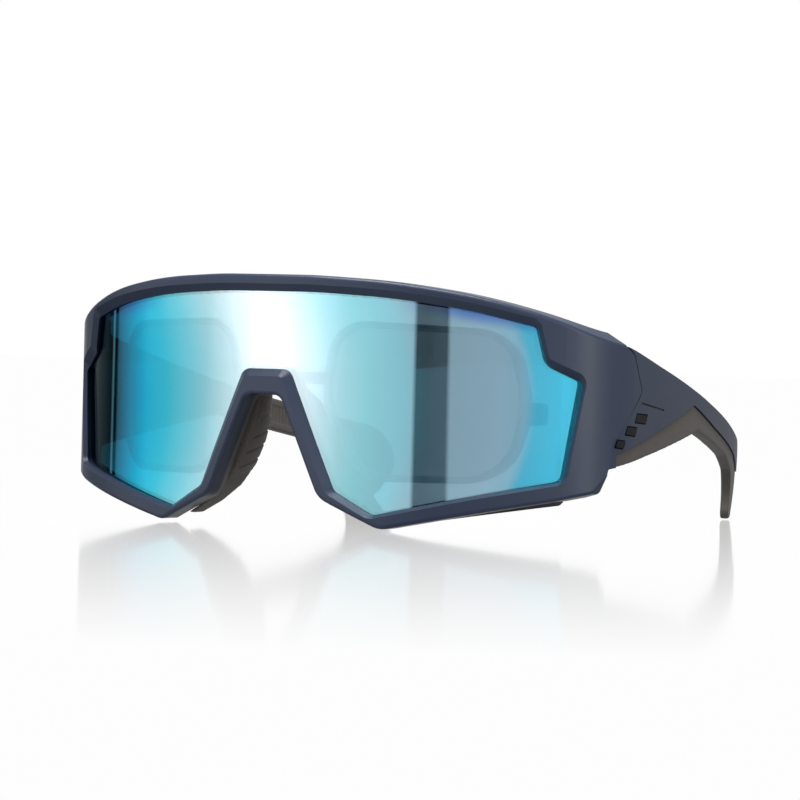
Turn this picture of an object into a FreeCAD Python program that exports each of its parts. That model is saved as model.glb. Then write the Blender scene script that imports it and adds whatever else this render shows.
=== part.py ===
import FreeCAD, Part
import math
import os

# Wraparound shield glasses for snow sport: one full rim, one mirror shield, two folding
# temples and a lift-out prescription insert.  Units are millimetres.
# While modelling, y = 0 is near the front of the bridge and z = 0 near the table.
# At the end everything moves together so the origin is the bottom centre of the whole box.

# ---- driving dimensions -------------------------------------------------------------
half_width = 72.5        # centre plane to the outside of a temple at the hinge
front_radius = 88.0      # plan radius of the front
corner_run = 8.5         # width each corner arc takes up, between the front arc and the temple
temple_radius = 337.0    # plan radius of a temple, closing in towards the ear
apex_y = -1.2            # front of the bridge
rim_depth = 5.0          # rim, front to back
lens_set_back = 2.2      # step from rim face to lens face
lens_thick = 1.8
lens_lip = 1.3           # how far the lens runs under the rim
lens_edge_gap = 0.2      # room round the lens edge
bevel = 1.7              # bevel round the lens window
brow_edge = 1.0          # round along the top edge of the rim
rim_edge = 0.9           # round along its bottom and nose edges
temple_thick = 4.0
grip_step = 0.3          # rubber sits this much below the hard shell
lining_thick = 1.7       # rubber lining inside the temple
lining_start = 24.2      # the lining starts this far behind the shoulder
window_depth = 2.6       # windows through the shell, behind the rim
plug_set_back = 0.25     # top of a window plug under the shell's surface
plug_groove = 0.24       # groove round a plug
plug_base = 1.5          # depth where a plug fills its window
hinge_gap = 0.3          # joint line between rim and temple
hinge_inset = 1.6        # hinge axis in from the inside face of the temple
hinge_set_back = 2.2     # hinge axis behind the shoulder, where corner turns into temple
hinge_low = 27.0         # bottom and top of the hinge stack
hinge_high = 40.0
leaf_low = 30.6          # the temple knuckle sits between two rim knuckles
leaf_high = 36.4
knuckle_radius = 2.1
knuckle_room = 0.35      # room round a knuckle
knuckle_gap = 0.12       # gap above and below the middle knuckle
pin_radius = 0.9
pin_clearance = 0.05
bracket_thick = 2.0      # nose bracket behind the rim
bracket_top = 34.7
insert_ring = 1.6        # width of the wire-like ring round a prescription lens
insert_thick = 1.6
clip_thick = 0.8         # socket plate of the insert, on the back of the nose bracket
insert_gap = 1.6         # outer face of the insert behind the nose bracket
insert_set_back = rim_depth + bracket_thick + insert_gap
seat_end = 4.8           # the lens seat stops this far ahead of the shoulder
brow_top = 58.0          # height of the brow line at the centre plane
brow_bow = 0.000912      # how it falls away outward: a gentle bow, then a curl
brow_curl = 3.45e-7
brow_height = 3.9        # visible height of the rim over the lens

# ---- plan of the outside: front arc, corner arc, temple arc, all tangent -------------------
corner_start = half_width - corner_run
corner_angle = math.asin(corner_start / front_radius)
corner_radius = corner_run / (1.0 - math.sin(corner_angle))
front_centre = (0.0, apex_y + front_radius)
corner_centre = (corner_start - corner_radius * math.sin(corner_angle),
                 front_centre[1] - (front_radius - corner_radius) * math.cos(corner_angle))
temple_centre = (half_width - temple_radius, corner_centre[1])
shoulder = corner_centre[1]
hinge_x = half_width - temple_thick - hinge_inset
hinge_y = shoulder + hinge_set_back
hinge_sweep = 0.09       # how far the rim's own band runs past the corner, in radians
tip_sweep = 0.36


def brow_line(x):
    return brow_top - brow_bow * x ** 2 - brow_curl * x ** 4


# ---- outlines: right half, (x, z, corner radius), from the top centre to the bottom ----
# x near the nose is from the centre plane, x near a temple is in from the half width
rim_half = [
    (12.0, brow_line(12.0), 120.0), (half_width - 42.5, brow_line(half_width - 42.5), 150.0),
    (half_width - 24.5, brow_line(half_width - 24.5), 90.0),
    (half_width - 10.5, brow_line(half_width - 10.5), 50.0),
    (half_width + 7.5, brow_line(half_width + 7.5) + 0.9, 0.0), (half_width + 7.5, 34.0, 0.0),
    (half_width - 4.0, 9.3, 1.6), (half_width - 10.0, 7.5, 8.0),
    (28.4, 0.0, 5.0), (14.2, 6.9, 6.0), (4.4, 30.2, 2.8),
]
lens_half = [
    (12.0, brow_line(12.0) - brow_height, 150.0),
    (half_width - 42.5, brow_line(half_width - 42.5) - brow_height, 150.0),
    (half_width - 26.5, brow_line(half_width - 26.5) - brow_height, 80.0),
    (half_width - 14.1, brow_line(half_width - 14.1) - brow_height + 0.2, 1.2),
    (half_width - 12.3, 38.3, 2.6), (half_width - 6.0, 34.5, 1.4),
    (half_width - 8.9, 12.1, 1.8), (26.4, 3.3, 2.0), (17.4, 8.6, 3.0), (5.9, 36.1, 2.8),
]
insert_half = [
    (13.0, 48.0, 9.0), (half_width - 21.5, 46.4, 9.0), (half_width - 17.9, 28.0, 30.0),
    (half_width - 22.5, 10.8, 11.0), (20.0, 10.8, 10.0), (10.4, 28.0, 20.0),
]
insert_tab = [
    (half_width - 19.5, 24.6, 0.4), (half_width - 15.9, 24.6, 0.8),
    (half_width - 15.9, 29.8, 0.8), (half_width - 19.5, 29.8, 0.4),
]
cheek_half = [
    (34.0, 1.5, 0.3), (half_width - 11.6, 6.35, 0.5), (half_width - 11.6, 9.4, 0.5), (34.0, 4.4, 0.3),
]

# ---- outlines: side view, (y behind the shoulder, z, corner radius) ------------------------
rim_side = [
    (-68.0, -20.0, 0.0), (-11.0, -20.0, 0.0), (-11.0, 14.0, 0.5), (-9.8, 17.4, 1.5),
    (-10.0, 20.9, 1.5), (3.1, 33.0, 1.2), (-1.8, 41.5, 1.5), (-5.2, 43.3, 0.6),
    (-5.2, 90.0, 0.0), (-68.0, 90.0, 0.0),
]
temple_side = [
    (-13.8, 45.5, 0.0), (-13.8, 14.9, 0.0), (-9.6, 14.9, 0.8), (47.2, 23.3, 2.0),
    (84.0, 16.6, 24.0), (103.4, 10.6, 7.0), (97.6, 0.0, 1.8), (106.0, 0.0, 2.4),
    (117.2, 10.0, 7.5), (109.4, 19.8, 11.0), (85.2, 24.4, 50.0), (57.2, 29.8, 90.0),
    (14.2, 38.9, 60.0),
]
grip_edge = [
    (-27.8, -30.0, 0.0), (-6.4, 10.0, 0.0), (-7.4, 18.4, 0.6), (41.2, 29.7, 0.6),
    (64.2, 23.9, 30.0), (100.2, 16.6, 20.0), (122.2, 9.0, 0.0), (122.2, -30.0, 0.0),
]
core_side = [
    (52.2, 26.4, 0.5), (84.2, 19.6, 20.0), (102.6, 15.6, 6.0), (106.0, 9.0, 4.0),
    (104.6, 4.0, 0.5), (102.8, 4.0, 0.5), (103.8, 9.0, 3.0), (100.6, 13.8, 5.0),
    (83.8, 17.9, 18.0), (52.2, 24.6, 0.5),
]
window_spots = [(3.6, 26.8, 6.8, 2.4), (-1.5, 23.9, 5.4, 2.3), (-6.2, 20.9, 3.6, 2.1)]
slit_quad = [(3.2, 30.0, 0.1), (17.8, 28.4, 0.05), (17.8, 28.7, 0.05), (3.2, 30.5, 0.1)]


def behind_shoulder(points):
    return [(p[0] + shoulder,) + tuple(p[1:]) for p in points]


rim_side = behind_shoulder(rim_side)
temple_side = behind_shoulder(temple_side)
grip_edge = behind_shoulder(grip_edge)
core_side = behind_shoulder(core_side)
window_spots = behind_shoulder(window_spots)
slit_quad = behind_shoulder(slit_quad)


# ---- small drawing helpers ----------------------------------------------------------------
def area(points):
    total = 0.0
    for a, b in zip(points, points[1:] + points[:1]):
        total += a[0] * b[1] - b[0] * a[1]
    return total / 2.0


def unit(a, b):
    dx = b[0] - a[0]
    dy = b[1] - a[1]
    size = math.hypot(dx, dy)
    return dx / size, dy / size


def grown(points, by):
    # the same outline moved outward by a set distance, corner radii following
    turn = 1.0 if area(points) > 0 else -1.0
    out = []
    count = len(points)
    for i in range(count):
        a = points[i - 1]
        b = points[i]
        c = points[(i + 1) % count]
        d1 = unit(a, b)
        d2 = unit(b, c)
        n1 = (d1[1] * turn, -d1[0] * turn)
        n2 = (d2[1] * turn, -d2[0] * turn)
        k = by / (1.0 + n1[0] * n2[0] + n1[1] * n2[1])
        bend = (d1[0] * d2[1] - d1[1] * d2[0]) * turn
        radius = b[2]
        if radius > 0:
            radius = max(radius + (by if bend > 0 else -by), 0.25)
        out.append((b[0] + k * (n1[0] + n2[0]), b[1] + k * (n1[1] + n2[1]), radius))
    return out


def mirrored_pair(half):
    return half + [(-x, z, r) for x, z, r in reversed(half)]


def place(u, v, view, at):
    if view == "front":
        return FreeCAD.Vector(u, at, v)
    if view == "side":
        return FreeCAD.Vector(at, u, v)
    return FreeCAD.Vector(u, v, at)


def prism(points, view, start, end):
    # a closed outline with rounded corners, pushed from start to end
    edges = []
    knots = []
    count = len(points)
    for i in range(count):
        a = points[i - 1]
        b = points[i]
        c = points[(i + 1) % count]
        d1 = unit(a, b)
        d2 = unit(b, c)
        cross = d1[0] * d2[1] - d1[1] * d2[0]
        turn = math.atan2(cross, d1[0] * d2[0] + d1[1] * d2[1])
        if b[2] <= 0 or abs(turn) < 0.002:
            knots.append((b, None, b))
            continue
        t = b[2] * math.tan(abs(turn) / 2.0)
        p = (b[0] - d1[0] * t, b[1] - d1[1] * t)
        q = (b[0] + d2[0] * t, b[1] + d2[1] * t)
        h = unit(p, q)
        side = -1.0 if cross > 0 else 1.0
        rise = b[2] * (1.0 - math.cos(turn / 2.0))
        m = ((p[0] + q[0]) / 2.0 - h[1] * rise * side, (p[1] + q[1]) / 2.0 + h[0] * rise * side)
        knots.append((p, m, q))
    for i in range(count):
        p, m, q = knots[i]
        if m:
            edges.append(Part.Arc(place(*p[:2], view, start), place(*m, view, start),
                                  place(*q[:2], view, start)).toShape())
        n = knots[(i + 1) % count][0]
        if math.hypot(n[0] - q[0], n[1] - q[1]) > 1e-5:
            edges.append(Part.makeLine(place(*q[:2], view, start), place(*n[:2], view, start)))
    face = Part.Face(Part.Wire(edges))
    return face.extrude(place(0, 0, view, end) - place(0, 0, view, start))


# ---- points on the plan line at a depth under the outside ------------------------------------
def on_front(depth, angle):
    r = front_radius - depth
    return (front_centre[0] + r * math.sin(angle), front_centre[1] - r * math.cos(angle))


def on_corner(depth, angle):
    r = corner_radius - depth
    return (corner_centre[0] + r * math.sin(angle), corner_centre[1] - r * math.cos(angle))


def on_temple(depth, angle):
    r = temple_radius - depth
    return (temple_centre[0] + r * math.cos(angle), temple_centre[1] + r * math.sin(angle))


def arc(a, m, b, z):
    return Part.Arc(place(*a, "top", z), place(*m, "top", z), place(*b, "top", z)).toShape()


def line(a, b, z):
    return Part.makeLine(place(*a, "top", z), place(*b, "top", z))


def half_path(depth, z, first, last):
    # the outside line at a depth under the surface, from the front to the temple
    edges = []
    if first == "corner":
        low = corner_angle
        a = on_corner(depth, low)
    else:
        a = on_front(depth, 0.0)
        b = on_front(depth, corner_angle)
        edges.append(arc(a, on_front(depth, corner_angle / 2), b, z))
    b = on_corner(depth, corner_angle)
    c = on_corner(depth, math.pi / 2)
    edges.append(arc(b, on_corner(depth, (corner_angle + math.pi / 2) / 2), c, z))
    d = on_temple(depth, last)
    edges.append(arc(c, on_temple(depth, last / 2), d, z))
    return edges, a, d


def mirror_x(shape):
    return shape.mirror(FreeCAD.Vector(0, 0, 0), FreeCAD.Vector(1, 0, 0))


def front_band(outer, inner, low, high):
    # a wall of even thickness wrapping from one hinge round the front to the other
    edges = []
    for depth in (outer, inner):
        b = on_front(depth, corner_angle)
        a = (-b[0], b[1])
        edges.append(arc(a, on_front(depth, 0.0), b, low))
        half, start, end = half_path(depth, low, "corner", hinge_sweep)
        edges += half
        edges += [mirror_x(e) for e in half]
    p = on_temple(outer, hinge_sweep)
    q = on_temple(inner, hinge_sweep)
    edges.append(line(p, q, low))
    edges.append(line((-p[0], p[1]), (-q[0], q[1]), low))
    wire = Part.Wire(Part.__sortEdges__(edges))
    return Part.Face(wire).extrude(FreeCAD.Vector(0, 0, high - low))


def side_wire(outer, inner, z):
    # plan section of the right temple wall
    a, a0, a1 = half_path(outer, z, "corner", tip_sweep)
    b, b0, b1 = half_path(inner, z, "corner", tip_sweep)
    return Part.Wire(Part.__sortEdges__(a + b + [line(a0, b0, z), line(a1, b1, z)]))


def side_band(outer, inner, low, high):
    return Part.Face(side_wire(outer, inner, low)).extrude(FreeCAD.Vector(0, 0, high - low))


def box(x0, y0, z0, x1, y1, z1):
    return Part.makeBox(x1 - x0, y1 - y0, z1 - z0, FreeCAD.Vector(x0, y0, z0))


def post(x, y, low, high, radius):
    return Part.makeCylinder(radius, high - low, FreeCAD.Vector(x, y, low))


def tidy(shape):
    solids = shape.removeSplitter().Solids
    solids.sort(key=lambda s: -s.Volume)
    return solids[0]


def together(shapes):
    out = shapes[0]
    for s in shapes[1:]:
        out = out.fuse(s)
    return out


# ---- front: rim, shield, seal ---------------------------------------------------------------
lens_all = mirrored_pair(lens_half)
rim_all = mirrored_pair(rim_half)
seat_back = shoulder - seat_end
window = prism(lens_all, "front", -20.0, 60.0)
rim_region = prism(rim_all, "front", -20.0, 60.0).common(
    prism(rim_side, "side", -2.0 * half_width, 2.0 * half_width))


def face_edges(shape, test):
    # edges of the outer face that pass a test at their middle, seams left out
    chosen = []
    for e in shape.Edges:
        points = [e.valueAt(e.FirstParameter + (e.LastParameter - e.FirstParameter) * k)
                  for k in (0.15, 0.5, 0.85)]
        if any(abs(surface_depth(p.x, p.y)) > 0.02 for p in points) or not test(points[1]):
            continue
        if math.hypot(points[0].x - points[2].x, points[0].y - points[2].y) > 0.02:
            chosen.append(e)
    return chosen


def surface_depth(x, y):
    # distance under the outer surface at a point in plan
    x = abs(x)
    r = math.hypot(x, y - front_centre[1])
    if y < front_centre[1] and math.atan2(x, front_centre[1] - y) <= corner_angle + 1e-6:
        return front_radius - r
    if y <= corner_centre[1] + 1e-6:
        return corner_radius - math.hypot(x - corner_centre[0], y - corner_centre[1])
    return temple_radius - math.hypot(x - temple_centre[0], y - temple_centre[1])


def near_outline(points, p, reach):
    # is a point within reach of an outline in the front view
    best = 1e9
    for a, b in zip(points, points[1:] + points[:1]):
        dx = b[0] - a[0]
        dz = b[1] - a[1]
        k = ((p.x - a[0]) * dx + (p.z - a[1]) * dz) / (dx * dx + dz * dz)
        k = min(max(k, 0.0), 1.0)
        best = min(best, math.hypot(p.x - a[0] - k * dx, p.z - a[1] - k * dz))
    return best < reach


def lens_outline(grow, back):
    # the lens outline grown by a lip, ending at a y and never past the rim's rear edge
    inside = prism(rim_side, "side", -2.0 * half_width, 2.0 * half_width)
    return prism(grown(lens_all, grow), "front", -20.0, back).common(inside)


def make_front_frame():
    body = front_band(0.0, rim_depth, -10.0, 70.0).common(rim_region)
    body = body.cut(window)
    body = body.makeChamfer(bevel, face_edges(body, lambda p: near_outline(lens_all, p, 0.8)))
    body = body.makeFillet(brow_edge, face_edges(
        body, lambda p: near_outline(rim_all, p, 0.6) and p.z > rim_side[7][1] + 0.2))
    body = body.makeFillet(rim_edge, face_edges(
        body, lambda p: near_outline(rim_all, p, 0.6) and p.z < 35.0 and p.y < rim_side[1][0] - 3.8))
    seat = lens_outline(lens_lip + lens_edge_gap, seat_back)
    body = body.cut(front_band(lens_set_back, rim_depth + 1.0, -10.0, 70.0).common(seat))
    room = knuckle_radius + knuckle_room
    for s in (1, -1):
        body = body.cut(post(s * hinge_x, hinge_y, leaf_low - 0.3, leaf_high + 0.3, room))
        body = body.cut(post(s * hinge_x, hinge_y, hinge_low, leaf_low - 0.3, knuckle_radius))
        body = body.cut(post(s * hinge_x, hinge_y, leaf_high + 0.3, hinge_high, knuckle_radius))
    return tidy(body)


def make_shield_lens():
    edge = lens_outline(lens_lip, seat_back - lens_edge_gap)
    return tidy(front_band(lens_set_back, lens_set_back + lens_thick, -10.0, 70.0).common(edge))


def make_lens_seal():
    outer = lens_outline(lens_lip + lens_edge_gap, seat_back - 0.6)
    inner = prism(grown(lens_all, -0.5), "front", -20.0, 60.0)
    wall = front_band(lens_set_back + lens_thick, rim_depth, -10.0, 70.0)
    return tidy(wall.common(outer.cut(inner)))


def make_brow_bar():
    # soft brow strip behind the top of the rim, between the window and the top edge
    above = prism(grown(rim_all, -0.5), "front", -20.0, 60.0)
    below = prism(grown(lens_all, 0.5), "front", -20.0, 60.0)
    reach = box(22.0 - half_width, -20.0, 45.0, half_width - 22.0, 60.0, 70.0)
    wall = front_band(rim_depth, rim_depth + 2.6, -10.0, 70.0)
    return tidy(wall.common(above.cut(below)).common(reach))


def make_cheek_strip():
    # dark strip tucked under the right lower rim, open at its outer end
    wall = front_band(rim_depth, rim_depth + 2.0, -10.0, 70.0)
    return tidy(wall.common(prism(cheek_half, "front", -20.0, 60.0)))


# ---- nose: bracket on the rim, rubber saddle on the bracket ------------------------------------
def make_nose_bracket():
    # hard bracket clipped on the back of the rim, over the bridge and down both sides
    half = [(6.7, bracket_top, 2.0), (16.5, 8.7, 6.0), (31.0, 1.6, 1.0), (28.6, 0.2, 0.5)]
    half += [(x, z, r) for x, z, r in rim_half[-2:]]
    ring = mirrored_pair(half)
    wall = front_band(rim_depth, rim_depth + bracket_thick, -10.0, 70.0)
    body = wall.common(prism(ring, "front", -20.0, 60.0))
    for s in (1, -1):
        slot = box(s * 4.0 - 1.0, 0, 31.4, s * 4.0 + 1.0, 30, 33.2)
        body = body.cut(slot)
    return tidy(body)


def wing_section(z, front_x, front_y, rear_x, rear_y, thick):
    # one level of the right nose wing: a bowed strip running back and outward
    bow = 0.9
    mid_x = (front_x + rear_x) / 2.0 - bow
    mid_y = (front_y + rear_y) / 2.0
    pts = [(front_x, front_y), (mid_x, mid_y), (rear_x, rear_y)]
    back = [(rear_x + thick, rear_y - 0.4), (mid_x + thick, mid_y), (front_x + thick, front_y)]
    edges = [arc(*pts, z), line(pts[2], back[0], z), arc(*back, z), line(back[2], pts[0], z)]
    return Part.Wire(edges)


def make_nose_pad():
    levels = [
        (32.2, 2.6, 10.4), (29.0, 4.0, 14.4), (24.5, 5.2, 17.4), (19.0, 7.4, 19.4),
        (13.5, 10.2, 20.4), (8.5, 13.8, 19.8), (4.6, 18.4, 18.2), (1.8, 23.0, 16.0),
    ]
    wires = []
    for z, x, rear_y in levels:
        y = apex_y + front_radius - math.sqrt((front_radius - rim_depth) ** 2 - x * x) + bracket_thick - 0.5
        wires.append(wing_section(z, x, y, x + 0.16 * (rear_y - y) + 0.2, rear_y, 2.0))
    wing = Part.makeLoft(wires, True, True)
    arch = box(-3.2, apex_y + rim_depth + bracket_thick + 0.1, 30.0, 3.2, 9.3, 32.2)
    body = arch.fuse(wing).fuse(mirror_x(wing))
    return tidy(body.cut(front_band(0.0, rim_depth + bracket_thick, -10.0, 70.0)))


# ---- prescription insert ---------------------------------------------------------------------
def make_insert_frame():
    wall = front_band(insert_set_back, insert_set_back + insert_thick, -10.0, 70.0)
    ring = prism(insert_half, "front", -20.0, 60.0)
    hole = prism(grown(insert_half, -insert_ring), "front", -20.0, 60.0)
    tab = prism(insert_tab, "front", -20.0, 60.0)
    right = wall.common(ring.fuse(tab)).cut(hole)
    low = bracket_top - 1.9
    high = bracket_top + 0.9
    bridge = prism([(-13.0, low, 0.5), (13.0, low, 0.5), (13.0, high, 0.5), (-13.0, high, 0.5)],
                   "front", -20.0, 60.0).common(wall).cut(hole).cut(mirror_x(hole))
    front = apex_y + rim_depth + bracket_thick + clip_thick
    stem = box(-2.2, front, low, 2.2, apex_y + insert_set_back + 0.8, high)
    return tidy(together([right, mirror_x(right), bridge, stem]))


def make_insert_lens():
    wall = front_band(insert_set_back, insert_set_back + insert_thick, -10.0, 70.0)
    return tidy(wall.common(prism(grown(insert_half, -insert_ring), "front", -20.0, 60.0)))


def make_insert_clip():
    # low socket plate on the back of the nose bracket; the insert's stem butts against it
    back = apex_y + rim_depth + bracket_thick
    low = bracket_top - 2.1
    body = box(-4.4, back, low, 4.4, back + clip_thick, bracket_top - 0.1)
    keep = front_band(rim_depth + bracket_thick, rim_depth + bracket_thick + 5.0, -10.0, 70.0)
    return tidy(body.common(keep))


# ---- temples (drawn on the right; the left is the mirror image) ---------------------------------
temple_region = prism(temple_side, "side", 0.0, 2.0 * half_width).cut(
    prism(grown(rim_side, hinge_gap), "side", 0.0, 2.0 * half_width))
grip_region = prism(grip_edge, "side", 0.0, 2.0 * half_width)
facet_top = 31.2         # below this line the shell leans inward
facet_lean = 1.1


def temple_wall(outer, inner):
    # the temple wall, its lower part leaning in towards the wearer
    upper = side_band(outer, inner, facet_top, 70.0)
    lean = facet_lean * (facet_top + 6.0) / (facet_top - 10.0)
    lower = Part.makeLoft([side_wire(outer, inner, facet_top),
                           side_wire(outer + min(lean, 2.0), inner, -6.0)], True, True)
    return upper.fuse(lower)


def hinge_pocket():
    room = knuckle_radius + knuckle_room
    return post(hinge_x, hinge_y, hinge_low - 0.4, hinge_high + 1.6, room)


def window_shapes(outer, inner, shrink):
    cuts = []
    for y, z, long_side, tall in window_spots:
        a = long_side / 2.0 - shrink
        b = tall / 2.0 - shrink
        lean = 0.45 * b
        quad = [(y - a - lean, z - b, 0.3), (y + a - lean, z - b - 0.35, 0.3),
                (y + a + lean, z + b - 0.35, 0.3), (y - a + lean, z + b, 0.3)]
        cuts.append(prism(quad, "side", 0.0, 2.0 * half_width))
    wall = side_band(outer, inner, 0.0, 60.0)
    return together(cuts).common(wall)


def make_slit(outer, inner):
    return prism(slit_quad, "side", 0.0, 2.0 * half_width).common(side_band(outer, inner, 0.0, 60.0))


def lining_region():
    # where rubber also lines the inside of the temple, behind the hinge leaf
    return box(0.0, shoulder + lining_start, -10.0, 2.0 * half_width, shoulder + 150.0, 80.0)


def make_temple_shell():
    body = temple_wall(0.0, temple_thick).common(temple_region).cut(grip_region)
    lining = side_band(temple_thick - lining_thick, temple_thick + 1.0, -10.0, 70.0)
    body = body.cut(lining.common(lining_region()))
    body = body.cut(hinge_pocket())
    body = body.cut(window_shapes(-1.0, window_depth, 0.0))
    body = body.cut(make_slit(-1.0, 1.4))
    return tidy(body)


def make_temple_grip():
    outer = grip_step
    body = temple_wall(outer, temple_thick).common(temple_region)
    upper = body.cut(grip_region)
    lining = side_band(temple_thick - lining_thick, temple_thick, -10.0, 70.0)
    upper = upper.common(lining.common(lining_region()))
    lower = body.common(grip_region)
    body = lower.fuse(upper)
    body = body.cut(hinge_pocket()).cut(core_strip())
    return tidy(body)


def core_strip():
    wall = side_band(temple_thick - 1.3, temple_thick - 0.6, -10.0, 70.0)
    return wall.common(prism(core_side, "side", 0.0, 2.0 * half_width))


def make_temple_core():
    return tidy(core_strip())


def make_window_plugs():
    # each plug fills its window at the bottom and stands up inside a narrow groove
    base = window_shapes(plug_base, window_depth, 0.0)
    return base.fuse(window_shapes(plug_set_back, window_depth, plug_groove)).removeSplitter()


def make_temple_trim():
    return tidy(make_slit(0.45, 1.4))


def pin_hole(extra):
    return post(hinge_x, hinge_y, hinge_low - 5.0, hinge_high + 5.0, pin_radius + extra)


def leaf_screw_spots():
    return [(hinge_y + 7.0, 33.5), (hinge_y + 13.0, 33.5)]


def leaf_screw_holes(radius, start, end):
    # short round holes pointing outward through the leaf and into the shell
    out = []
    for y, z in leaf_screw_spots():
        hole = Part.makeCylinder(radius, end - start, FreeCAD.Vector(start, y, z),
                                 FreeCAD.Vector(1, 0, 0))
        out.append(hole)
    return together(out)


leaf_thick = 1.3
screw_radius = 0.7


def make_hinge_leaf():
    # middle knuckle with an arm lying against the inside of the temple
    room = knuckle_gap
    knuckle = post(hinge_x, hinge_y, leaf_low + room, leaf_high - room, knuckle_radius)
    plate = prism([(hinge_y - 0.5, leaf_low + room, 0.0), (hinge_y + 16.0, leaf_low + room, 1.0),
                   (hinge_y + 16.0, leaf_high - room, 1.0), (hinge_y - 0.5, leaf_high - room, 0.0)],
                  "side", 0.0, 2.0 * half_width)
    arm = side_band(temple_thick, temple_thick + leaf_thick, 0.0, 60.0).common(plate)
    body = knuckle.fuse(arm).cut(pin_hole(pin_clearance))
    body = body.cut(leaf_screw_holes(screw_radius, half_width - 22.5, half_width + 7.5))
    return tidy(body)


def make_leaf_screws():
    out = []
    for y, z in leaf_screw_spots():
        inner = on_temple(temple_thick + leaf_thick, math.asin((y - temple_centre[1]) / temple_radius))
        start = FreeCAD.Vector(inner[0] - 0.3, y, z)
        stem = Part.makeCylinder(screw_radius, 3.0, start, FreeCAD.Vector(1, 0, 0))
        head = Part.makeCylinder(1.3, 0.7, FreeCAD.Vector(inner[0] - 0.95, y, z), FreeCAD.Vector(1, 0, 0))
        slot = box(inner[0] - 1.2, y - 0.2, z - 2.0, inner[0] - 0.65, y + 0.2, z + 2.0)
        out.append(stem.fuse(head).cut(slot))
    return out


def make_hinge_block():
    # two knuckles joined to a plate on the inside of the rim's end piece
    knuckles = [post(hinge_x, hinge_y, hinge_low, leaf_low, knuckle_radius),
                post(hinge_x, hinge_y, leaf_high, hinge_high, knuckle_radius)]
    wall = front_band(rim_depth, rim_depth + 1.6, 0.0, 60.0)
    plate = prism([(hinge_y - 13.0, hinge_low + 0.6, 1.0), (hinge_y - 2.8, hinge_low + 0.6, 0.0),
                   (hinge_y - 2.8, hinge_high - 0.6, 0.0), (hinge_y - 13.0, hinge_high - 0.6, 1.0)],
                  "side", 0.0, 2.0 * half_width)
    base = wall.common(plate)
    arms = []
    for low, high in ((hinge_low, leaf_low), (leaf_high, hinge_high)):
        arms.append(box(hinge_x - knuckle_radius, hinge_y - 6.0, low,
                        hinge_x + 0.5, hinge_y, high))
    keep_out = front_band(-5.0, rim_depth, 0.0, 60.0).common(prism(rim_side, "side", 0.0, 2.0 * half_width))
    arms = [a.cut(keep_out) for a in arms]
    body = together(knuckles + arms + [base])
    body = body.cut(pin_hole(0.0))
    return tidy(body)


def make_hinge_pin():
    shaft = post(hinge_x, hinge_y, hinge_low - 0.3, hinge_high, pin_radius)
    head = post(hinge_x, hinge_y, hinge_high, hinge_high + 0.9, 1.7)
    slot = box(hinge_x - 2.0, hinge_y - 0.2, hinge_high + 0.5, hinge_x + 2.0, hinge_y + 0.2,
               hinge_high + 2.0)
    return tidy(shaft.fuse(head).cut(slot))


# ---- assembly ------------------------------------------------------------------------------------
def build():
    parts = {}
    parts["front_frame"] = make_front_frame()
    parts["shield_lens"] = make_shield_lens()
    parts["lens_seal"] = make_lens_seal()
    parts["brow_strip"] = make_brow_bar()
    parts["nose_bracket"] = make_nose_bracket()
    parts["nose_pad"] = make_nose_pad()
    parts["insert_clip"] = make_insert_clip()
    parts["insert_frame"] = make_insert_frame()
    pairs = {
        "cheek_strip": make_cheek_strip(),
        "insert_lens": make_insert_lens(),
        "hinge_block": make_hinge_block(),
        "hinge_pin": make_hinge_pin(),
        "temple_shell": make_temple_shell(),
        "temple_grip": make_temple_grip(),
        "temple_core": make_temple_core(),
        "temple_vents": make_window_plugs(),
        "temple_trim": make_temple_trim(),
        "hinge_leaf": make_hinge_leaf(),
        "leaf_screws": Part.makeCompound(make_leaf_screws()),
    }
    bores = leaf_screw_holes(screw_radius, half_width - 12.5, half_width + 7.5)
    holes = bores.common(Part.makeCompound(make_leaf_screws()))
    pairs["temple_shell"] = tidy(pairs["temple_shell"].cut(holes))
    for name, shape in pairs.items():
        parts[name + "_right"] = shape
        parts[name + "_left"] = mirror_x(shape)
    return parts


def settle(parts):
    # origin to the middle of the bottom of the whole box
    whole = Part.makeCompound(list(parts.values())).BoundBox
    shift = FreeCAD.Vector(0.0, -(whole.YMin + whole.YMax) / 2.0, -whole.ZMin)
    for shape in parts.values():
        shape.translate(shift)
    return shift


parts = build()
shift = settle(parts)
os.makedirs("parts", exist_ok=True)
for name, shape in parts.items():
    shape.exportStep("parts/" + name + ".step")
print("parts", len(parts), "shift", tuple(round(v, 3) for v in shift))
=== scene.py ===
import math
import bmesh
import bpy
from mathutils import Matrix, Vector


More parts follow.
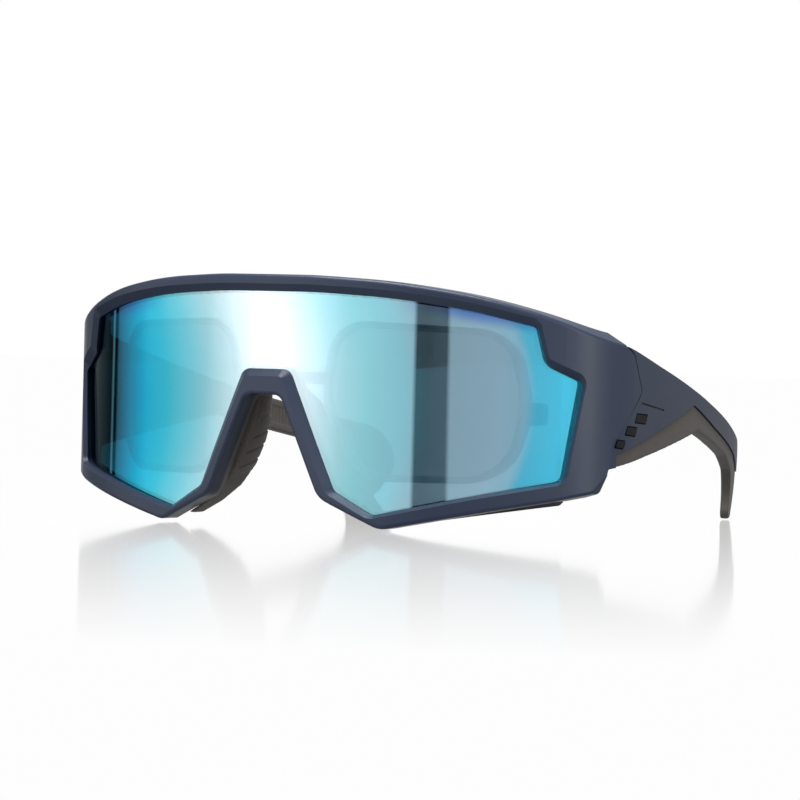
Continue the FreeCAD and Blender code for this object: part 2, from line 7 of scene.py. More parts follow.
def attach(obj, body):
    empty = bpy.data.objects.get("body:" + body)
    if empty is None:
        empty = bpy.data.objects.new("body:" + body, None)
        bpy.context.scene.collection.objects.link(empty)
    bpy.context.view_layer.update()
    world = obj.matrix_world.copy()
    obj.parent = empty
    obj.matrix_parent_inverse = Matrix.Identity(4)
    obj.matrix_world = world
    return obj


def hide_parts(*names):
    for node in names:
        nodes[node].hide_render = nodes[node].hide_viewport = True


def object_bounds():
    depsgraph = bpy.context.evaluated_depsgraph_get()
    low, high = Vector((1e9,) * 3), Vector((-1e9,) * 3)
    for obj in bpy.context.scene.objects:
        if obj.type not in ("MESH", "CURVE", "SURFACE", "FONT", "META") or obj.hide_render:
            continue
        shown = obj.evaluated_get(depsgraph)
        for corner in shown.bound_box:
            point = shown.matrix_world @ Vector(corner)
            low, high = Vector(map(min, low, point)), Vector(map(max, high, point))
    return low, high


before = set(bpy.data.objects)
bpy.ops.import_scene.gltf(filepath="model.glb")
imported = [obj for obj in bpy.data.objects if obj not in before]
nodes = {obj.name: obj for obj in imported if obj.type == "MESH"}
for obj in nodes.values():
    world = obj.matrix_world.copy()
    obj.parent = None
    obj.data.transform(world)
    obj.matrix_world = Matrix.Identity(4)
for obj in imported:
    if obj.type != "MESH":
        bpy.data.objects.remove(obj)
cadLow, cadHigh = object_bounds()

mm = 0.001


# helpers for node trees
def addNode(tree, kind, place=(0, 0), **settings):
    node = tree.nodes.new(kind)
    node.location = place
    for key, value in settings.items():
        setattr(node, key, value)
    return node


def newGroup(name, inputs, outputs):
    # inputs and outputs are (name, socket kind, start value)
    tree = bpy.data.node_groups.new(name, "ShaderNodeTree")
    for label, kind, start in inputs:
        socket = tree.interface.new_socket(label, in_out="INPUT", socket_type=kind)
        if start is not None:
            socket.default_value = start
    for label, kind in outputs:
        tree.interface.new_socket(label, in_out="OUTPUT", socket_type=kind)
    return tree, addNode(tree, "NodeGroupInput", (-700, 0)), addNode(tree, "NodeGroupOutput", (700, 0))


mould = {"grainDetail": 2.0, "cloudScale": 60.0, "cloudDetail": 3.0, "grainHeight": 0.00006,
         "coatRoughness": 0.3}


def makeMouldGrain():
    # fine spark-eroded texture of a moulded surface, with slow clouding in its gloss
    tree, inputs, outputs = newGroup("mouldGrain", [
        ("Colour", "NodeSocketColor", (0.1, 0.1, 0.1, 1)), ("Variation", "NodeSocketFloat", 0.08),
        ("Grain Size", "NodeSocketFloat", 4000.0), ("Gloss", "NodeSocketFloat", 0.45),
        ("Gloss Spread", "NodeSocketFloat", 0.08)],
        [("Colour", "NodeSocketColor"), ("Roughness", "NodeSocketFloat"), ("Height", "NodeSocketFloat")])
    link = tree.links.new
    place = addNode(tree, "ShaderNodeTexCoord", (-900, -200))
    fine = addNode(tree, "ShaderNodeTexNoise", (-500, -100))
    fine.inputs["Detail"].default_value = mould["grainDetail"]
    link(place.outputs["Object"], fine.inputs["Vector"])
    link(inputs.outputs["Grain Size"], fine.inputs["Scale"])
    broad = addNode(tree, "ShaderNodeTexNoise", (-500, -400))
    broad.inputs["Scale"].default_value = mould["cloudScale"]
    broad.inputs["Detail"].default_value = mould["cloudDetail"]
    link(place.outputs["Object"], broad.inputs["Vector"])
    swing = addNode(tree, "ShaderNodeMath", (-250, -400), operation="SUBTRACT")
    link(broad.outputs["Fac"], swing.inputs[0])
    swing.inputs[1].default_value = 0.5
    shade = addNode(tree, "ShaderNodeMath", (0, 100), operation="MULTIPLY_ADD")
    link(swing.outputs[0], shade.inputs[0])
    link(inputs.outputs["Variation"], shade.inputs[1])
    shade.inputs[2].default_value = 1.0
    tint = addNode(tree, "ShaderNodeVectorMath", (200, 100), operation="SCALE")
    link(inputs.outputs["Colour"], tint.inputs[0])
    link(shade.outputs[0], tint.inputs["Scale"])
    rough = addNode(tree, "ShaderNodeMath", (200, -200), operation="MULTIPLY_ADD")
    link(swing.outputs[0], rough.inputs[0])
    link(inputs.outputs["Gloss Spread"], rough.inputs[1])
    link(inputs.outputs["Gloss"], rough.inputs[2])
    link(tint.outputs[0], outputs.inputs["Colour"])
    link(rough.outputs[0], outputs.inputs["Roughness"])
    link(fine.outputs["Fac"], outputs.inputs["Height"])
    return tree


mouldGrain = makeMouldGrain()


def principled(name):
    material = bpy.data.materials.new(name)
    material.use_nodes = True
    return material, material.node_tree, material.node_tree.nodes["Principled BSDF"]


def mouldedMaterial(name, look):
    # plastic and rubber: colour and gloss from the grain group, bump from its height
    material, tree, shader = principled(name)
    grain = addNode(tree, "ShaderNodeGroup", (-500, 0), node_tree=mouldGrain)
    grain.inputs["Colour"].default_value = (*look["colour"], 1)
    grain.inputs["Variation"].default_value = look["variation"]
    grain.inputs["Grain Size"].default_value = look["grainSize"]
    grain.inputs["Gloss"].default_value = look["gloss"]
    grain.inputs["Gloss Spread"].default_value = look["glossSpread"]
    bump = addNode(tree, "ShaderNodeBump", (-250, -300))
    bump.inputs["Strength"].default_value = look["bump"]
    bump.inputs["Distance"].default_value = mould["grainHeight"]
    tree.links.new(grain.outputs["Colour"], shader.inputs["Base Color"])
    tree.links.new(grain.outputs["Roughness"], shader.inputs["Roughness"])
    tree.links.new(grain.outputs["Height"], bump.inputs["Height"])
    tree.links.new(bump.outputs["Normal"], shader.inputs["Normal"])
    shader.inputs["Specular IOR Level"].default_value = look.get("specular", 0.5)
    shader.inputs["Coat Weight"].default_value = look.get("coat", 0.0)
    shader.inputs["Coat Roughness"].default_value = mould["coatRoughness"]
    shader.inputs["Sheen Weight"].default_value = look.get("sheen", 0.0)
    return material


# the finishes, with what a user would change in each
navyLook = {"colour": (0.021, 0.033, 0.068), "variation": 0.10, "grainSize": 5200.0, "gloss": 0.38,
            "glossSpread": 0.08, "bump": 0.25, "specular": 0.37, "coat": 0.06}
rubberLook = {"colour": (0.060, 0.052, 0.046), "variation": 0.22, "grainSize": 3600.0, "gloss": 0.66,
              "glossSpread": 0.14, "bump": 0.45, "specular": 0.4, "sheen": 0.12}
sealLook = {"colour": (0.010, 0.011, 0.013), "variation": 0.2, "grainSize": 4200.0, "gloss": 0.55,
            "glossSpread": 0.1, "bump": 0.3}
# grey plastic, made lighter as painted light to lift the shaded nose bracket; the insert clip and hinge
# blocks share it
bracketLookPaintedLight = {"colour": (0.11, 0.108, 0.112), "variation": 0.15, "grainSize": 5200.0, "gloss": 0.5,
               "glossSpread": 0.1, "bump": 0.3}
navy = mouldedMaterial("navySatin", navyLook)
rubber = mouldedMaterial("brownRubber", rubberLook)
# nose saddle rubber: the grip rubber made lighter as painted light, making up for the light its shaded place
# under the nose lacks
saddleRubberPaintedLight = mouldedMaterial("saddleRubberPaintedLight", {**rubberLook, "colour": (0.078, 0.068, 0.062)})
sealBlack = mouldedMaterial("sealBlack", sealLook)
bracketGrey = mouldedMaterial("bracketGrey", bracketLookPaintedLight)
plugGrey = mouldedMaterial("plugGrey", {**sealLook, "colour": (0.009, 0.010, 0.013), "specular": 0.15})


steelLook = {"colour": (0.55, 0.56, 0.58), "streakStretch": 30.0, "streakScale": 400.0,
             "smoothest": 0.22, "roughest": 0.42}


def steelMaterial(look):
    # brushed pin and leaf steel, streaked across its height
    material, tree, shader = principled("brushedPin")
    place = addNode(tree, "ShaderNodeTexCoord", (-900, 0))
    turn = addNode(tree, "ShaderNodeMapping", (-700, 0))
    turn.inputs["Scale"].default_value = (1.0, 1.0, look["streakStretch"])
    streak = addNode(tree, "ShaderNodeTexNoise", (-500, 0))
    streak.inputs["Scale"].default_value = look["streakScale"]
    ramp = addNode(tree, "ShaderNodeMapRange", (-250, 0))
    ramp.inputs["To Min"].default_value = look["smoothest"]
    ramp.inputs["To Max"].default_value = look["roughest"]
    tree.links.new(place.outputs["Object"], turn.inputs["Vector"])
    tree.links.new(turn.outputs["Vector"], streak.inputs["Vector"])
    tree.links.new(streak.outputs["Fac"], ramp.inputs["Value"])
    tree.links.new(ramp.outputs["Result"], shader.inputs["Roughness"])
    shader.inputs["Base Color"].default_value = (*look["colour"], 1)
    shader.inputs["Metallic"].default_value = 1.0
    return material


def fillRamp(ramp, stops):
    # stops are (place from 0 to 1, colour)
    while len(ramp.elements) < len(stops):
        ramp.elements.new(0.5)
    for element, (place, colour) in zip(ramp.elements, stops):
        element.position = place
        element.color = (*colour, 1)


def shieldMaterial(look):
    # blue mirror coat with painted light: a pale painted reflection of the studio in the middle and painted
    # shade darkening the outer ends, drifting across the shield, with violet interference near the brow
    material, tree, shader = principled("blueMirror")
    link = tree.links.new
    place = addNode(tree, "ShaderNodeTexCoord", (-1500, 0))
    cloud = addNode(tree, "ShaderNodeTexNoise", (-1300, 200))
    cloud.inputs["Scale"].default_value = look["cloudSize"]
    cloud.inputs["Detail"].default_value = 1.0
    split = addNode(tree, "ShaderNodeSeparateXYZ", (-1300, 0))
    link(place.outputs["Object"], cloud.inputs["Vector"])
    link(place.outputs["Object"], split.inputs[0])
    drift = addNode(tree, "ShaderNodeMath", (-1100, 200), operation="MULTIPLY_ADD")
    drift.inputs[1].default_value = look["drift"]
    link(cloud.outputs["Fac"], drift.inputs[0])
    link(split.outputs["X"], drift.inputs[2])
    # the painted reflection and shade bands bow round the eye
    level = addNode(tree, "ShaderNodeMath", (-1100, 50), operation="SUBTRACT")
    level.inputs[1].default_value = look["curlHeight"]
    link(split.outputs["Z"], level.inputs[0])
    square = addNode(tree, "ShaderNodeMath", (-1000, 50), operation="POWER")
    square.inputs[1].default_value = 2.0
    link(level.outputs[0], square.inputs[0])
    bow = addNode(tree, "ShaderNodeMath", (-950, 120), operation="MULTIPLY_ADD")
    bow.inputs[1].default_value = look["curl"]
    link(square.outputs[0], bow.inputs[0])
    link(drift.outputs[0], bow.inputs[2])
    across = addNode(tree, "ShaderNodeMapRange", (-900, 0))
    across.inputs["From Min"].default_value = -look["halfWidth"]
    across.inputs["From Max"].default_value = look["halfWidth"]
    link(bow.outputs[0], across.inputs["Value"])
    # mirror colour across the shield, with painted reflection and painted shade baked into it
    tint = addNode(tree, "ShaderNodeValToRGB", (-700, 0))
    fillRamp(tint.color_ramp, [((x * mm / look["halfWidth"] + 1.0) / 2.0, colour)
                               for x, colour in look["mirrorWithPaintedLight"]])
    link(across.outputs["Result"], tint.inputs["Fac"])
    rise = addNode(tree, "ShaderNodeMath", (-1100, -250), operation="MULTIPLY_ADD")
    rise.inputs[1].default_value = look["browWave"]
    link(cloud.outputs["Fac"], rise.inputs[0])
    link(split.outputs["Z"], rise.inputs[2])
    # the brow falls away outward
    arch = addNode(tree, "ShaderNodeMath", (-1100, -450), operation="POWER")
    link(split.outputs["X"], arch.inputs[0])
    arch.inputs[1].default_value = 2.0
    top = addNode(tree, "ShaderNodeMath", (-900, -350), operation="MULTIPLY_ADD")
    top.inputs[1].default_value = look["browFall"]
    link(arch.outputs[0], top.inputs[0])
    link(rise.outputs[0], top.inputs[2])
    brow = addNode(tree, "ShaderNodeMapRange", (-700, -350))
    brow.interpolation_type = "SMOOTHSTEP"
    brow.inputs["From Min"].default_value = look["browLow"]
    brow.inputs["From Max"].default_value = look["browHigh"]
    brow.inputs["To Max"].default_value = look["browAmount"]
    link(top.outputs[0], brow.inputs["Value"])
    outward = addNode(tree, "ShaderNodeMapRange", (-700, -600))      # none over the nose
    outward.inputs["From Min"].default_value = look["browFrom"] ** 2
    outward.inputs["From Max"].default_value = look["browTo"] ** 2
    link(arch.outputs[0], outward.inputs["Value"])
    amount = addNode(tree, "ShaderNodeMath", (-500, -400), operation="MULTIPLY")
    link(brow.outputs["Result"], amount.inputs[0])
    link(outward.outputs["Result"], amount.inputs[1])
    mix = addNode(tree, "ShaderNodeMix", (-350, 0), data_type="RGBA")
    link(amount.outputs[0], mix.inputs["Factor"])
    link(tint.outputs["Color"], mix.inputs[6])
    mix.inputs[7].default_value = (*look["violet"], 1)
    link(mix.outputs[2], shader.inputs["Base Color"])
    shader.inputs["Metallic"].default_value = look["metallic"]
    shader.inputs["Transmission Weight"].default_value = 1.0
    shader.inputs["IOR"].default_value = look["ior"]
    shader.inputs["Roughness"].default_value = look["roughness"]
    return material


def clearMaterial(name, look):
    material, tree, shader = principled(name)
    place = addNode(tree, "ShaderNodeTexCoord", (-700, 0))
    haze = addNode(tree, "ShaderNodeTexNoise", (-500, 0))
    haze.inputs["Scale"].default_value = look["hazeScale"]
    ramp = addNode(tree, "ShaderNodeMapRange", (-250, 0))
    ramp.inputs["To Min"].default_value = look["roughness"]
    ramp.inputs["To Max"].default_value = look["roughness"] + look["hazeSpread"]
    tree.links.new(place.outputs["Object"], haze.inputs["Vector"])
    tree.links.new(haze.outputs["Fac"], ramp.inputs["Value"])
    tree.links.new(ramp.outputs["Result"], shader.inputs["Roughness"])
    shader.inputs["Base Color"].default_value = (*look["colour"], 1)
    shader.inputs["Alpha"].default_value = look["alpha"]
    shader.inputs["Specular IOR Level"].default_value = look["specular"]
    return material


shieldLook = {
    "metallic": 0.61, "ior": 1.12, "roughness": 0.004, "halfWidth": 0.072, "cloudSize": 22.0, "drift": 0.003,
    "curl": 9.0, "curlHeight": 0.029,
    "violet": (0.05, 0.20, 0.66), "browWave": 0.006, "browFall": 1.55, "browLow": 0.0535, "browHigh": 0.0575,
    "browAmount": 0.8, "browFrom": 0.030, "browTo": 0.044,
    "mirrorWithPaintedLight": [      # millimetres across from the nose, then the mirror colour with painted reflection (pale middle) and painted shade (dark outer ends) in it
        (-62, (0.01, 0.09, 0.12)), (-49, (0.02, 0.20, 0.28)), (-44, (0.02, 0.38, 0.64)),
        (-36, (0.005, 0.56, 0.82)), (-28, (0.06, 0.64, 0.80)), (-20, (0.24, 0.72, 0.83)),
        (-12, (0.52, 0.80, 0.86)), (-4, (0.74, 0.88, 0.94)), (6, (0.80, 0.90, 0.94)),
        (13, (0.64, 0.83, 0.91)), (19, (0.47, 0.77, 0.84)), (26, (0.35, 0.74, 0.81)),
        (34, (0.34, 0.69, 0.79)), (40, (0.40, 0.60, 0.70)),
        (54, (0.42, 0.64, 0.77)), (58, (0.36, 0.64, 0.78)), (60, (0.12, 0.60, 0.80)),
        (66, (0.08, 0.58, 0.80))],
}
ringLook = {"colour": (0.92, 0.96, 1.0), "roughness": 0.08, "alpha": 0.62, "hazeScale": 90.0,
            "hazeSpread": 0.04, "specular": 0.7}
opticLook = {**ringLook, "colour": (0.30, 0.36, 0.42), "roughness": 0.02, "alpha": 0.32}
steel = steelMaterial(steelLook)
blueMirror = shieldMaterial(shieldLook)
clearRing = clearMaterial("clearRing", ringLook)
clearOptic = clearMaterial("clearOptic", opticLook)

finishes = {
    "front_frame": navy, "temple_shell": navy, "shield_lens": blueMirror, "lens_seal": sealBlack,
    "brow_strip": rubber, "nose_bracket": bracketGrey, "nose_pad": rubber, "insert_clip": bracketGrey,
    "insert_frame": clearRing, "insert_lens": clearOptic, "cheek_strip": sealBlack,
    "hinge_block": bracketGrey, "hinge_pin": steel, "hinge_leaf": steel, "leaf_screws": steel,
    "temple_core": steel, "temple_grip": rubber, "temple_vents": plugGrey, "temple_trim": sealBlack,
}


def plainName(name):
    for side in ("_left", "_right"):
        name = name.removesuffix(side)
    return name


for name, thing in nodes.items():
    thing.data.materials.clear()
    thing.data.materials.append(finishes[plainName(name)])
print("stage: finishes on", len(nodes), "nodes")


# helpers for the soft pieces
def smoothStep(low, high, value):
    t = min(max((value - low) / (high - low), 0.0), 1.0)
    return t * t * (3.0 - 2.0 * t)


def softCopy(name, node, look):
    # an even skin over a rubber part, its corners softened, ready for moulded detail
    bm = bmesh.new()
    bm.from_mesh(nodes[node].data)
    bmesh.ops.remove_doubles(bm, verts=bm.verts, dist=1e-6)
    mesh = bpy.data.meshes.new(name)
    bm.to_mesh(mesh)
    bm.free()
    piece = bpy.data.objects.new(name, mesh)
    bpy.context.scene.collection.objects.link(piece)
    skin = piece.modifiers.new("evenSkin", "REMESH")
    skin.mode = "VOXEL"
    skin.voxel_size = look["skin"]
    graph = bpy.context.evaluated_depsgraph_get()
    baked = bpy.data.meshes.new_from_object(piece.evaluated_get(graph))
    piece.modifiers.clear()
    piece.data = baked
    return piece


def mouldDetail(piece, look, depthAt):
    # soften the skin, then press the pattern in along the surface
    bm = bmesh.new()
    bm.from_mesh(piece.data)
    for _ in range(look["softening"]):
        bmesh.ops.smooth_vert(bm, verts=bm.verts, factor=0.5, use_axis_x=True, use_axis_y=True,
                              use_axis_z=True)
    bm.normal_update()
    moves = [(v, v.normal * depthAt(v.co, v.normal)) for v in bm.verts]
    for v, move in moves:
        v.co -= move
    for face in bm.faces:
        face.smooth = True
    bm.to_mesh(piece.data)
    bm.free()


def finishSoft(piece, material, body, slot, *replaced):
    piece.data.materials.clear()
    piece.data.materials.append(material)
    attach(piece, body)
    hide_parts(*replaced)


frontOfRim = 0.0012
planShift = cadLow.y + frontOfRim      # from the shoulder drawings' y to this frame's y


# rubber nose saddle: three sipes across each wing, a step above them and fine ribs below
saddle = {"skin": 0.00022, "softening": 5, "sipes": (0.0205, 0.0170, 0.0135), "sipeDepth": 0.00042,
          "sipeWidth": 0.00022, "lean": 0.18, "stepHeight": 0.0243, "stepDepth": 0.00045,
          "leanFrom": 0.012, "stepEdge": (-0.0002, 0.0004), "stepRunOut": (0.0012, 0.0022),
          "sipesFrom": 0.0076, "sipesFade": 0.0012,
          "ribTop": 0.0115, "ribPitch": 0.0011, "ribDepth": 0.00016, "ribFade": 0.001}


halfRoot = math.sqrt(0.5)      # for ribs at 45 degrees


def saddleDepth(co, normal):
    along = co.z - saddle["lean"] * (co.y - planShift - saddle["leanFrom"])
    depth = 0.0
    for place in saddle["sipes"]:
        depth += saddle["sipeDepth"] * math.exp(-((along - place) / saddle["sipeWidth"]) ** 2)
    low, high = saddle["stepEdge"]
    below = smoothStep(saddle["stepHeight"] + high, saddle["stepHeight"] + low, along)
    near, far = saddle["stepRunOut"]
    above = smoothStep(saddle["stepHeight"] + far, saddle["stepHeight"] + near, along)
    depth += saddle["stepDepth"] * (1.0 - below) * above
    if along < saddle["ribTop"]:
        slant = (co.z + co.y) * halfRoot / saddle["ribPitch"]
        fade = smoothStep(saddle["ribTop"], saddle["ribTop"] - saddle["ribFade"], along)
        depth += saddle["ribDepth"] * fade * (0.5 + 0.5 * math.sin(2.0 * math.pi * slant))
    start = saddle["sipesFrom"]
    return depth * smoothStep(start, start + saddle["sipesFade"], co.y - planShift)


nosePad = softCopy("noseSaddle", "nose_pad", saddle)
mouldDetail(nosePad, saddle, saddleDepth)
finishSoft(nosePad, saddleRubberPaintedLight, "front", "rubber", "nose_pad")

# rubber temple grips: upright ribs on the inside behind the hinge, a plain border below
grip = {"skin": 0.00028, "softening": 5, "ribPitch": 0.00125, "ribDepth": 0.00036, "from": 0.088, "to": 0.148,
        "endFade": 0.001, "border": 0.0017, "borderFade": 0.0004, "facing": 0.6,
        "lowerEdge": [(0.095, 0.0233), (0.132, 0.0166), (0.151, 0.0106)],
        "upperEdge": [(0.088, 0.0338), (0.105, 0.0299), (0.133, 0.0244), (0.157, 0.0198)]}


def edgeHeight(points, y):
    # height of a drawn edge at a place along the temple
    for (y0, z0), (y1, z1) in zip(points, points[1:]):
        if y <= y1 or (y1, z1) == points[-1]:
            return z0 + (z1 - z0) * (y - y0) / (y1 - y0)


def gripDepth(side):
    # side is 1 for the right temple and -1 for the left
    def depth(co, normal):
        if normal.x * side > -grip["facing"]:
            return 0.0
        y = co.y - planShift
        amount = smoothStep(grip["from"], grip["from"] + grip["endFade"], y)
        amount *= smoothStep(grip["to"], grip["to"] - grip["endFade"], y)
        over = co.z - edgeHeight(grip["lowerEdge"], y) - grip["border"]
        under = edgeHeight(grip["upperEdge"], y) - grip["border"] - co.z
        amount *= smoothStep(0.0, grip["borderFade"], over) * smoothStep(0.0, grip["borderFade"], under)
        wave = 0.5 + 0.5 * math.sin(2.0 * math.pi * y / grip["ribPitch"])
        return grip["ribDepth"] * amount * wave
    return depth


for side, word in ((1, "right"), (-1, "left")):
    sleeve = softCopy("templeSleeve_" + word, "temple_grip_" + word, grip)
    mouldDetail(sleeve, grip, gripDepth(side))
    finishSoft(sleeve, rubber, "temple_" + word, "rubber", "temple_grip_" + word)

# brow strip: shallow upright flutes along the back of the rim
flute = {"skin": 0.00035, "softening": 2, "pitch": 0.004, "depth": 0.0003, "sharpness": 4, "facing": 0.5}


def fluteDepth(co, normal):
    if normal.y < flute["facing"]:
        return 0.0
    wave = 0.5 + 0.5 * math.cos(2.0 * math.pi * co.x / flute["pitch"])
    return flute["depth"] * wave ** flute["sharpness"]


browPad = softCopy("browPad", "brow_strip", flute)
mouldDetail(browPad, flute, fluteDepth)
finishSoft(browPad, rubber, "front", "rubber", "brow_strip")

# cheek strips: soft lips under the lower rim
lip = {"skin": 0.0003, "softening": 3}


def smoothLip(co, normal):
    return 0.0      # no pattern, only soft corners


for word in ("right", "left"):
    strip = softCopy("cheekLip_" + word, "cheek_strip_" + word, lip)
    mouldDetail(strip, lip, smoothLip)
    finishSoft(strip, sealBlack, "front", "seal", "cheek_strip_" + word)
print("stage: soft pieces made")


# the studio: camera, sky, table and two lamps
view = {"azimuth": 26.91, "elevation": 0.795, "roll": 1.537, "distance": 0.9084, "lens": 180.87,
        "target": (0.0351, 0.0, 0.02993)}


def makeCamera():
    azimuth = math.radians(view["azimuth"])
    elevation = math.radians(view["elevation"])
    back = Vector((math.sin(azimuth) * math.cos(elevation), -math.cos(azimuth) * math.cos(elevation),
                   math.sin(elevation)))
    target = Vector(view["target"]) + Vector((0, planShift, 0))
    data = bpy.data.cameras.new("productCamera")
    data.lens = view["lens"]
    data.sensor_width = 36.0
    data.clip_start = 0.01
    camera = bpy.data.objects.new("productCamera", data)
    bpy.context.scene.collection.objects.link(camera)
    turn = (-back).to_track_quat("-Z", "Y").to_matrix() @ Matrix.Rotation(math.radians(view["roll"]), 3, "Z")
    camera.matrix_world = Matrix.LocRotScale(target + back * view["distance"], turn.to_quaternion(), None)
    bpy.context.scene.camera = camera
    return camera


sky = {
    "levels": [      # degrees round the object, then how bright the studio is there
        (-180, 0.35), (-167, 0.35), (-162, 1.0), (-135, 1.0), (-122, 0.2), (-107, 0.04), (-105.8, 0.01),
        (-104.6, 0.01), (-104.3, 1.1), (-103.7, 0.01), (-101, 0.01), (-100.2, 0.34), (-92, 0.6), (-80, 0.98),
        (-53, 1.0), (-43, 1.3), (-32, 1.68), (-22, 1.75), (-12, 1.5), (-2, 1.16), (8, 1.02), (20.2, 0.9),
        (20.5, 0.01), (25, 0.01), (25.6, 0.03), (31.0, 0.05), (31.4, 0.66), (54, 0.70),
        (76, 1.2), (98, 1.05), (116, 0.6), (180, 0.3)],
    # heights between which the light changes, as the upward part of a direction
    "tableFrom": -0.40, "tableTo": -0.12, "tableLevel": 0.55,
    "ceilingFrom": 0.30, "ceilingTo": 0.60, "ceilingLevel": 0.45,
    "evenFrom": 0.45, "evenTo": 0.70, "evenLevel": 1.1}


def makeWorld():
    # white backdrop to the camera; reflections see a softbox sky with darker gaps
    world = bpy.data.worlds.new("studio")
    bpy.context.scene.world = world
    world.use_nodes = True
    tree = world.node_tree
    tree.nodes.clear()
    link = tree.links.new
    out = addNode(tree, "ShaderNodeOutputWorld", (900, 0))
    seen = addNode(tree, "ShaderNodeBackground", (300, 200))
    seen.inputs["Color"].default_value = (1, 1, 1, 1)
    seen.inputs["Strength"].default_value = 1.0
    lit = addNode(tree, "ShaderNodeBackground", (300, -100))
    place = addNode(tree, "ShaderNodeTexCoord", (-900, 0))
    split = addNode(tree, "ShaderNodeSeparateXYZ", (-700, 0))
    link(place.outputs["Generated"], split.inputs[0])
    turnAngle = addNode(tree, "ShaderNodeMath", (-500, 0), operation="ARCTAN2")
    negate = addNode(tree, "ShaderNodeMath", (-600, -150), operation="MULTIPLY")
    negate.inputs[1].default_value = -1.0
    link(split.outputs["Y"], negate.inputs[0])
    link(split.outputs["X"], turnAngle.inputs[0])
    link(negate.outputs[0], turnAngle.inputs[1])
    spread = addNode(tree, "ShaderNodeMapRange", (-300, 0))
    spread.inputs["From Min"].default_value = -math.pi
    spread.inputs["From Max"].default_value = math.pi
    link(turnAngle.outputs[0], spread.inputs["Value"])
    ramp = addNode(tree, "ShaderNodeValToRGB", (-50, -100))
    ramp.color_ramp.interpolation = "LINEAR"
    fillRamp(ramp.color_ramp, [((turn + 180.0) / 360.0, (level, level, level))
                               for turn, level in sky["levels"]])
    link(spread.outputs["Result"], ramp.inputs["Fac"])
    below = addNode(tree, "ShaderNodeMapRange", (-300, -350))     # dimmer towards the table
    below.inputs["From Min"].default_value = sky["tableFrom"]
    below.inputs["From Max"].default_value = sky["tableTo"]
    below.inputs["To Min"].default_value = sky["tableLevel"]
    link(split.outputs["Z"], below.inputs["Value"])
    above = addNode(tree, "ShaderNodeMapRange", (-300, -600))     # and towards the ceiling
    above.inputs["From Min"].default_value = sky["ceilingFrom"]
    above.inputs["From Max"].default_value = sky["ceilingTo"]
    above.inputs["To Min"].default_value = 1.0
    above.inputs["To Max"].default_value = sky["ceilingLevel"]
    link(split.outputs["Z"], above.inputs["Value"])
    lift = addNode(tree, "ShaderNodeMath", (-50, -450), operation="MULTIPLY")
    link(below.outputs["Result"], lift.inputs[0])
    link(above.outputs["Result"], lift.inputs[1])
    steep = addNode(tree, "ShaderNodeMapRange", (-300, 300))      # even light straight overhead
    steep.inputs["From Min"].default_value = sky["evenFrom"]
    steep.inputs["From Max"].default_value = sky["evenTo"]
    link(split.outputs["Z"], steep.inputs["Value"])
    even = addNode(tree, "ShaderNodeMix", (50, 200), data_type="RGBA")
    even.inputs["B"].default_value = (sky["evenLevel"],) * 3 + (1,)
    link(steep.outputs["Result"], even.inputs["Factor"])
    link(ramp.outputs["Color"], even.inputs["A"])
    shade = addNode(tree, "ShaderNodeVectorMath", (150, -250), operation="SCALE")
    link(even.outputs["Result"], shade.inputs[0])
    link(lift.outputs[0], shade.inputs["Scale"])
    link(shade.outputs[0], lit.inputs["Color"])
    lit.inputs["Strength"].default_value = 1.0
    path = addNode(tree, "ShaderNodeLightPath", (0, 400))
    mix = addNode(tree, "ShaderNodeMixShader", (600, 0))
    link(path.outputs["Is Camera Ray"], mix.inputs["Fac"])
    link(lit.outputs[0], mix.inputs[1])
    link(seen.outputs[0], mix.inputs[2])
    link(mix.outputs[0], out.inputs["Surface"])


table = {"halfSize": 6.0, "drop": 0.0003, "glow": 0.985, "roughness": 0.07,
         "mirrorNear": 0.03, "mirrorFar": 0.44, "mirror": 0.52}


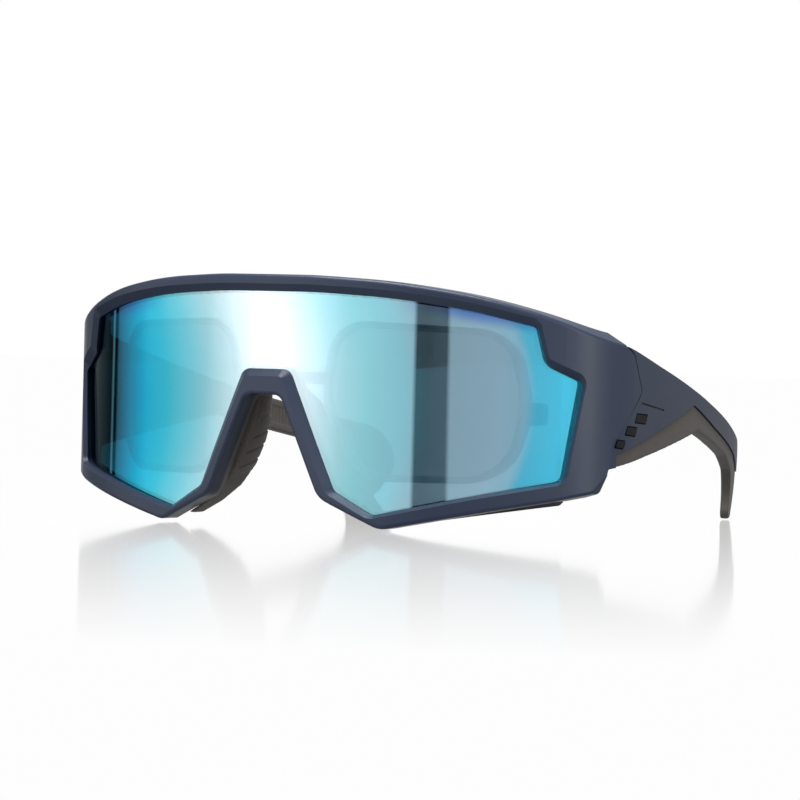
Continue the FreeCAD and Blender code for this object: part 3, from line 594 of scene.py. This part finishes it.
def makeFloor():
    bm = bmesh.new()
    bmesh.ops.create_grid(bm, x_segments=1, y_segments=1, size=table["halfSize"])
    mesh = bpy.data.meshes.new("studioFloor")
    bm.to_mesh(mesh)
    bm.free()
    floor = bpy.data.objects.new("studioFloor", mesh)
    bpy.context.scene.collection.objects.link(floor)
    mesh.transform(Matrix.Translation((0, 0, cadLow.z - table["drop"])))
    material = bpy.data.materials.new("glossTable")
    material.use_nodes = True
    tree = material.node_tree
    tree.nodes.clear()
    out = addNode(tree, "ShaderNodeOutputMaterial", (500, 0))
    glow = addNode(tree, "ShaderNodeEmission", (0, 150))
    glow.inputs["Color"].default_value = (1, 1, 1, 1)
    glow.inputs["Strength"].default_value = table["glow"]
    gloss = addNode(tree, "ShaderNodeBsdfGlossy", (0, -100))
    gloss.inputs["Roughness"].default_value = table["roughness"]
    gloss.inputs["Color"].default_value = (1, 1, 1, 1)
    place = addNode(tree, "ShaderNodeTexCoord", (-900, 300))
    reach = addNode(tree, "ShaderNodeVectorMath", (-700, 300), operation="LENGTH")
    fade = addNode(tree, "ShaderNodeMapRange", (-450, 300))      # the mirror dies away from the object
    fade.inputs["From Min"].default_value = table["mirrorNear"]
    fade.inputs["From Max"].default_value = table["mirrorFar"]
    fade.inputs["To Min"].default_value = table["mirror"]
    fade.inputs["To Max"].default_value = 0.0
    mix = addNode(tree, "ShaderNodeMixShader", (250, 0))
    tree.links.new(place.outputs["Object"], reach.inputs[0])
    tree.links.new(reach.outputs["Value"], fade.inputs["Value"])
    tree.links.new(fade.outputs["Result"], mix.inputs["Fac"])
    tree.links.new(glow.outputs[0], mix.inputs[1])
    tree.links.new(gloss.outputs[0], mix.inputs[2])
    tree.links.new(mix.outputs[0], out.inputs["Surface"])
    mesh.materials.append(material)
    floor.visible_glossy = False      # the shield reflects the studio alone, from top to bottom
    floor.visible_diffuse = False
    return floor


overheadBox = {"place": (0.05, -0.15, 0.6), "aim": (0.02, -0.05, 0.03), "size": (0.5, 0.35), "power": 5.5}
sideBox = {"place": (0.74, -0.05, 0.16), "aim": (0.05, -0.02, 0.03), "size": (0.14, 0.4), "power": 1.0}


def makeSoftbox(name, box):
    light = bpy.data.lights.new(name, "AREA")
    light.shape = "RECTANGLE"
    light.size, light.size_y = box["size"]
    light.energy = box["power"]
    lamp = bpy.data.objects.new(name, light)
    bpy.context.scene.collection.objects.link(lamp)
    lamp.location = box["place"]
    lamp.rotation_mode = "QUATERNION"
    lamp.rotation_quaternion = (Vector(box["aim"]) - Vector(box["place"])).to_track_quat("-Z", "Y")
    return lamp


makeCamera()
makeWorld()
makeFloor()
makeSoftbox("overheadBox", overheadBox)
makeSoftbox("sideBox", sideBox)
bpy.context.scene.view_settings.view_transform = "Standard"
print("stage: studio ready")
